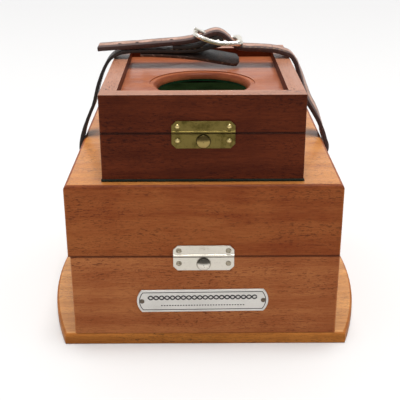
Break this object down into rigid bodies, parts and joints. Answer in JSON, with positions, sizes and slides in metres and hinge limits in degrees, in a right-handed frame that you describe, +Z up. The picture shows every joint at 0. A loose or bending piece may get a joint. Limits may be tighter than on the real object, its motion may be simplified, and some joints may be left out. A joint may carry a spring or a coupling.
{
  "type": "marine chronometer",
  "caption": "Boxed marine chronometer: gimballed timepiece in a mahogany case on a base board, with a windowed carrying box strapped on its lid.",
  "frame": {"origin": "centre of the base board's underside", "axes": "+X to the right across the front, +Y from front to back, +Z up"},
  "size_m": [0.211, 0.19, 0.1805],
  "materials": {
    "oak_board": "golden brown polished board",
    "mahogany": "french polished mahogany, orange brown",
    "dark_mahogany": "french polished dark red mahogany",
    "panel_wood": "polished mahogany panel",
    "cradle_wood": "plain softwood",
    "nickel": "nickel plate, lightly tarnished",
    "old_brass": "aged lacquered brass",
    "gilt_brass": "polished and lacquered brass",
    "plate_metal": "satin grey nameplate metal",
    "dark_steel": "darkened steel screws and pins",
    "steel": "polished steel",
    "blued_steel": "blued steel",
    "felt": "green baize",
    "dark_leather": "black bridle leather, worn",
    "tan_leather": "brown bridle leather, stitched",
    "glass": "clear flat glass",
    "enamel": "silvered white dial"
  },
  "bodies": {
    "case": {"base_board": "oak_board", "case_walls": "mahogany", "case_floor": "felt", "lock_plate": "nickel", "nameplate": "plate_metal", "nameplate_pins": "dark_steel", "case_screws": "dark_steel", "case_hinge_leaves": "nickel", "case_hinge_pins": "steel", "gimbal_brackets": "gilt_brass", "latch_spring": "steel"},
    "lock_button": {"lock_button": "nickel"},
    "lid": {"lid_top_board": "mahogany", "lid_walls": "mahogany", "strike_plate": "nickel", "lid_screws": "dark_steel", "lid_hinge_leaves": "nickel", "strap_loops": "nickel"},
    "carrier": {"carrier_walls": "dark_mahogany", "carrier_floor": "dark_mahogany", "carrier_baize": "felt", "watch_cradle": "cradle_wood", "cradle_felt": "felt", "carrier_lock_plate": "old_brass", "carrier_nails": "old_brass", "carrier_hinge_leaves": "old_brass", "carrier_hinge_pins": "steel", "carrier_latch_spring": "steel"},
    "carrier_button": {"carrier_button": "old_brass"},
    "cover": {"cover_rails": "dark_mahogany", "window_panel": "panel_wood", "cover_lining": "felt", "cover_strike_plate": "old_brass", "cover_nails": "old_brass", "cover_hinge_leaves": "old_brass"},
    "strap_left": {"strap_left": "dark_leather", "chafe_tongue": "dark_leather", "buckle_frame": "nickel", "buckle_prong": "nickel"},
    "strap_right": {"strap_right": "tan_leather"},
    "gimbal_ring": {"gimbal_ring": "gilt_brass", "gimbal_pivots": "steel"},
    "gimbal_stay": {"gimbal_stay": "gilt_brass"},
    "chronometer": {"bowl": "gilt_brass", "bezel": "gilt_brass", "crystal": "glass", "dial": "enamel", "movement_plates": "gilt_brass", "balance_cock": "gilt_brass", "balance_spring": "blued_steel"},
    "winding_arbor": {"winding_arbor": "steel"},
    "barrel": {"barrel": "gilt_brass"},
    "centre_wheel": {"centre_wheel": "gilt_brass", "minute_hand": "blued_steel"},
    "third_wheel": {"third_wheel": "gilt_brass"},
    "fourth_wheel": {"fourth_wheel": "gilt_brass", "seconds_hand": "blued_steel"},
    "escape_wheel": {"escape_wheel": "gilt_brass"},
    "balance_wheel": {"balance_wheel": "gilt_brass"},
    "hour_hand": {"hour_hand": "blued_steel"}
  },
  "joints": [
    {"name": "lid_hinge", "type": "hinge", "parent": "case", "child": "lid", "pos_m": [0, 0.0935, 0.06115], "axis": [-1, 0, 0], "range_deg": [0, 95]},
    {"name": "lock_button_press", "type": "slide", "parent": "case", "child": "lock_button", "axis": [0, 1, 0], "range_m": [0, 0.0015], "stiffness_N_per_m": 400, "springref_m": -0.0004, "deforming": ["latch_spring"]},
    {"name": "carrier_slide", "type": "slide", "parent": "lid", "child": "carrier", "axis": [0, -1, 0], "range_m": [0, 0.13]},
    {"name": "carrier_button_press", "type": "slide", "parent": "carrier", "child": "carrier_button", "axis": [0, 1, 0], "range_m": [0, 0.0015], "stiffness_N_per_m": 400, "springref_m": -0.0004, "deforming": ["carrier_latch_spring"]},
    {"name": "cover_hinge", "type": "hinge", "parent": "carrier", "child": "cover", "pos_m": [-0.0013, 0.0603, 0.1375], "axis": [-1, 0, 0], "range_deg": [0, 100]},
    {"name": "strap_left_drop", "type": "hinge", "parent": "lid", "child": "strap_left", "pos_m": [-0.0883, 0.006, 0.067], "axis": [0, -1, 0], "range_deg": [0, 120], "deforming": ["strap_left", "chafe_tongue", "strap_right"]},
    {"name": "strap_right_drop", "type": "hinge", "parent": "lid", "child": "strap_right", "pos_m": [0.0869, 0.006, 0.067], "axis": [0, 1, 0], "range_deg": [0, 120]},
    {"name": "gimbal_roll", "type": "hinge", "parent": "case", "child": "gimbal_ring", "pos_m": [0, 0, 0.052], "axis": [-1, 0, 0], "range_deg": [-25, 25]},
    {"name": "gimbal_pitch", "type": "hinge", "parent": "gimbal_ring", "child": "chronometer", "pos_m": [0, 0, 0.052], "axis": [0, 1, 0], "range_deg": [-25, 25]},
    {"name": "gimbal_stay_swing", "type": "hinge", "parent": "case", "child": "gimbal_stay", "pos_m": [0.064, -0.038, 0.0468], "axis": [0, 0, 1], "range_deg": [0, 60]},
    {"name": "winding_turn", "type": "hinge", "parent": "chronometer", "child": "winding_arbor", "pos_m": [0, 0.01746, 0.04], "axis": [0, 0, -1], "continuous": true},
    {"name": "barrel_turn", "type": "hinge", "parent": "chronometer", "child": "barrel", "pos_m": [0, 0.01746, 0.044], "axis": [0, 0, -1], "continuous": true},
    {"name": "minute_turn", "type": "hinge", "parent": "chronometer", "child": "centre_wheel", "pos_m": [0, 0, 0.052], "axis": [0, 0, -1], "continuous": true},
    {"name": "third_turn", "type": "hinge", "parent": "chronometer", "child": "third_wheel", "pos_m": [0.00955, -0.00971, 0.052], "axis": [0, 0, -1], "continuous": true},
    {"name": "seconds_turn", "type": "hinge", "parent": "chronometer", "child": "fourth_wheel", "pos_m": [0, -0.017, 0.052], "axis": [0, 0, -1], "continuous": true},
    {"name": "escape_turn", "type": "hinge", "parent": "chronometer", "child": "escape_wheel", "pos_m": [-0.00754, -0.02332, 0.052], "axis": [0, 0, -1], "continuous": true},
    {"name": "hour_turn", "type": "hinge", "parent": "chronometer", "child": "hour_hand", "pos_m": [0, 0, 0.052], "axis": [0, 0, -1], "continuous": true},
    {"name": "balance_swing", "type": "hinge", "parent": "chronometer", "child": "balance_wheel", "pos_m": [-0.01441, -0.01691, 0.036], "axis": [0, 0, -1], "range_deg": [-150, 150], "stiffness_Nm_per_rad": 0.00002, "deforming": ["balance_spring"]}
  ],
  "couplings": [
    {"joint": "strap_left_drop", "follows": "cover_hinge", "ratio": 1.2},
    {"joint": "strap_right_drop", "follows": "cover_hinge", "ratio": 1.2},
    {"joint": "third_turn", "follows": "seconds_turn", "ratio": -0.13333},
    {"joint": "minute_turn", "follows": "seconds_turn", "ratio": 0.016667},
    {"joint": "barrel_turn", "follows": "seconds_turn", "ratio": -0.0022222},
    {"joint": "hour_turn", "follows": "seconds_turn", "ratio": 0.0013889},
    {"joint": "escape_turn", "follows": "seconds_turn", "ratio": -8}
  ]
}
